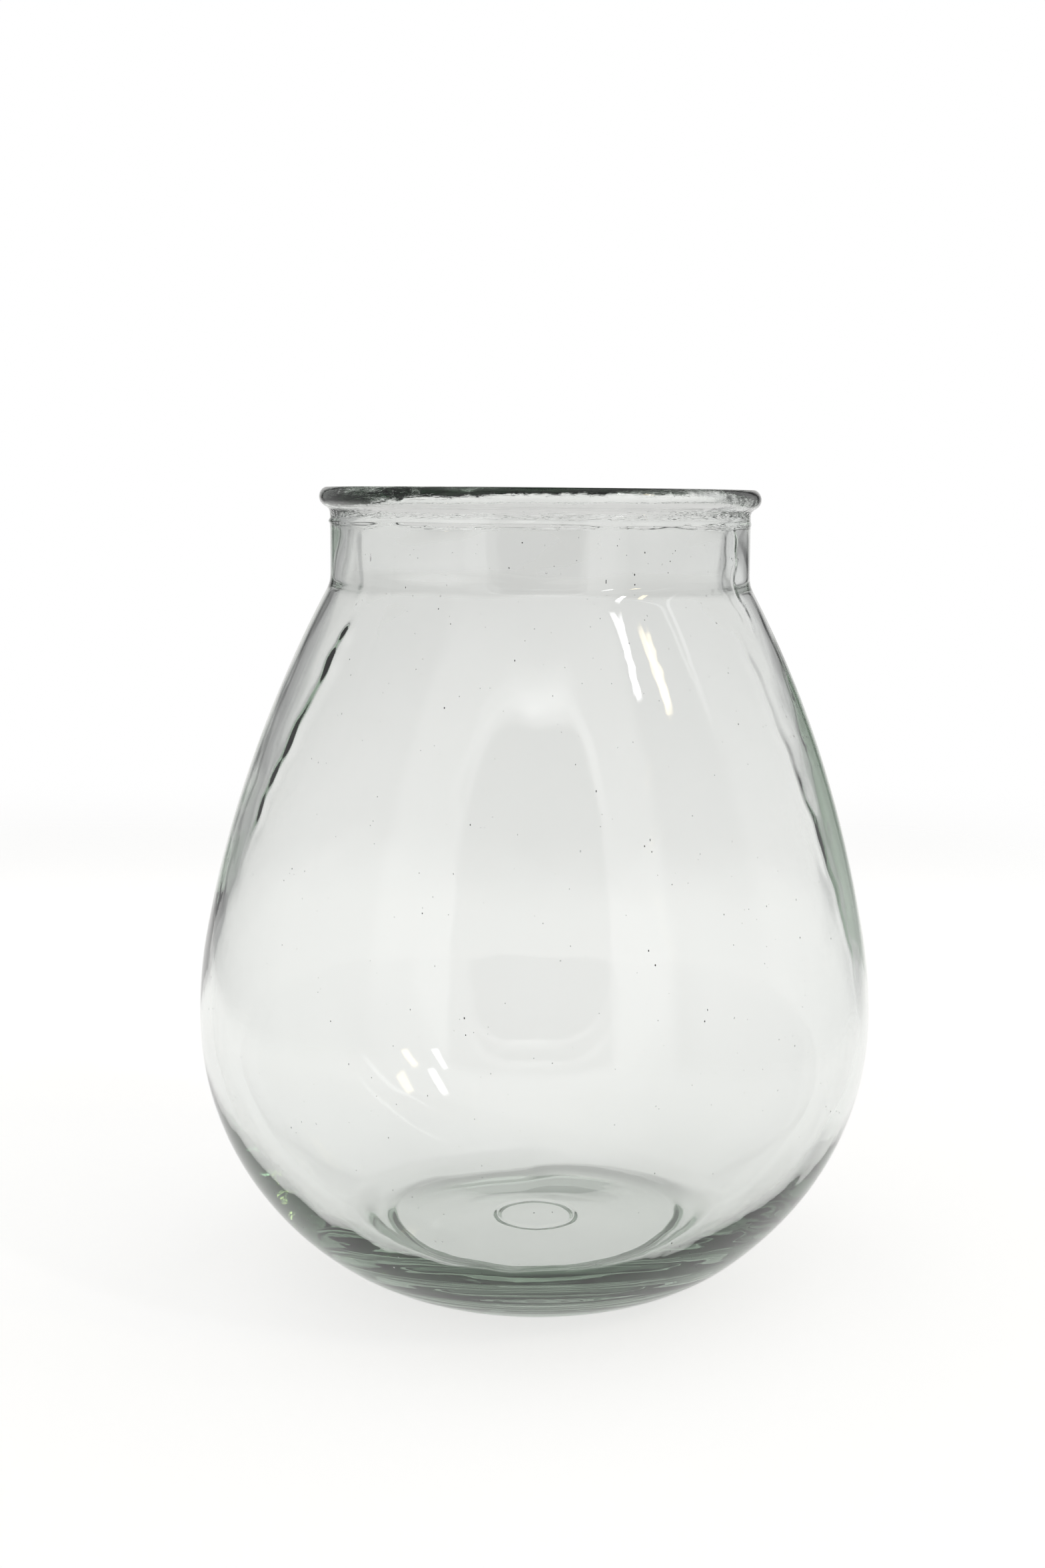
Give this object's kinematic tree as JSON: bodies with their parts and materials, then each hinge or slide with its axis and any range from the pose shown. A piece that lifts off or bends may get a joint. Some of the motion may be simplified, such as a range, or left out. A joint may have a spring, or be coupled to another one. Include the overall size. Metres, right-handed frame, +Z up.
{
  "type": "glass jar",
  "caption": "Pear-shaped jar of thick clear glass with an open mouth, a flared and beaded lip, a short straight neck and a heavy base on a low foot.",
  "frame": {"origin": "on the jar's axis, in the plane that the foot rests on", "axes": "+Z up along the jar's axis, from the foot to the mouth; -Y is the front, +X is the front's right"},
  "size_m": [0.237, 0.237, 0.2799],
  "materials": {
    "glass": "clear with a faint grey-green tint, smooth, with small seeds and cooling marks"
  },
  "bodies": {
    "root": {"glass_jar": "glass"}
  },
  "joints": []
}
